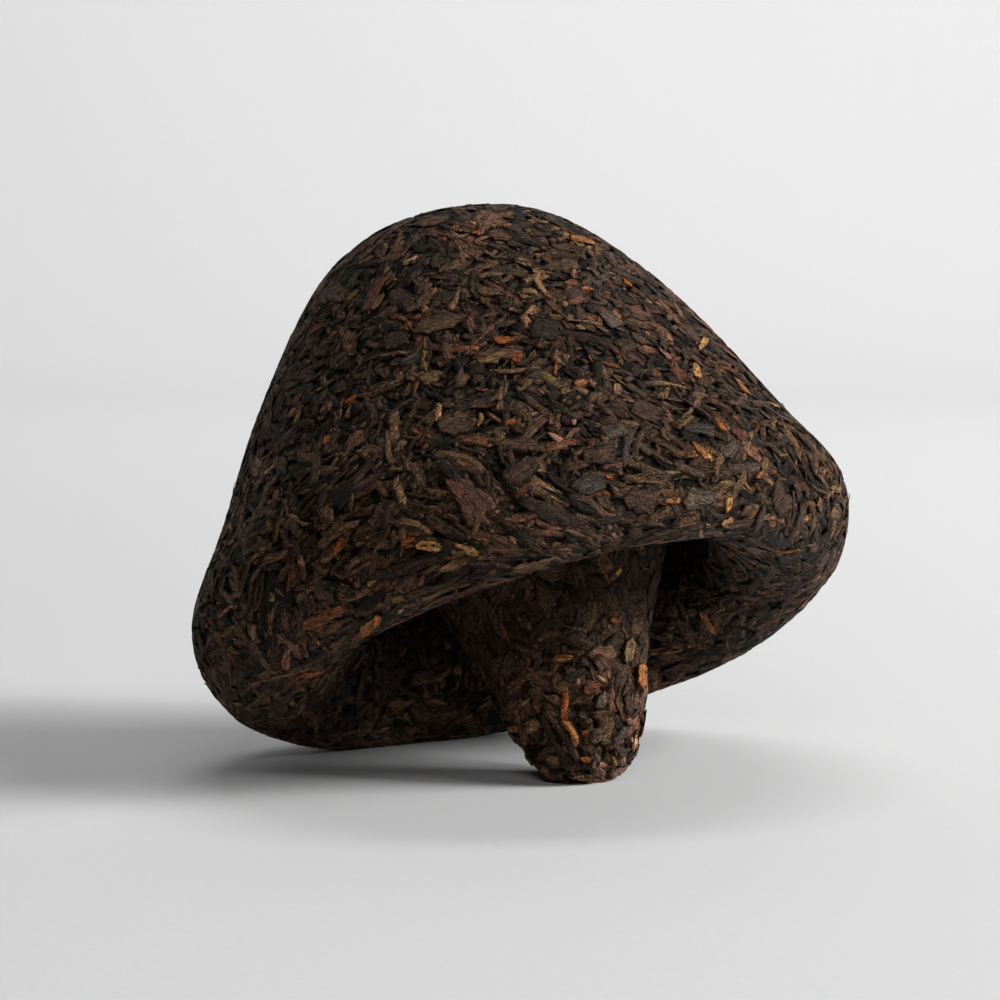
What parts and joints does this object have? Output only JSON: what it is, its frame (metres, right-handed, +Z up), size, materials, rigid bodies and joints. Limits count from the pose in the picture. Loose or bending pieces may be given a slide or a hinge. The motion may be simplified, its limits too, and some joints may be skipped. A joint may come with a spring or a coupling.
{
  "type": "mushroom tuocha",
  "caption": "Cake of pressed dark tea in the shape of a mushroom: domed cap, thick rolled brim, hollow underside and tapering stalk, lying on its brim and stalk.",
  "frame": {"origin": "on the table, under the middle of the bounding box", "axes": "+Z up; the stalk's tip points down and towards -Y and +X, so the hollow faces -Y"},
  "size_m": [0.0994, 0.0982, 0.0864],
  "materials": {
    "pressed_leaf": "matte, rough pressed leaf, dark brown with a few orange and gold flecks"
  },
  "bodies": {
    "root": {"pressed_tea": "pressed_leaf"}
  },
  "joints": []
}
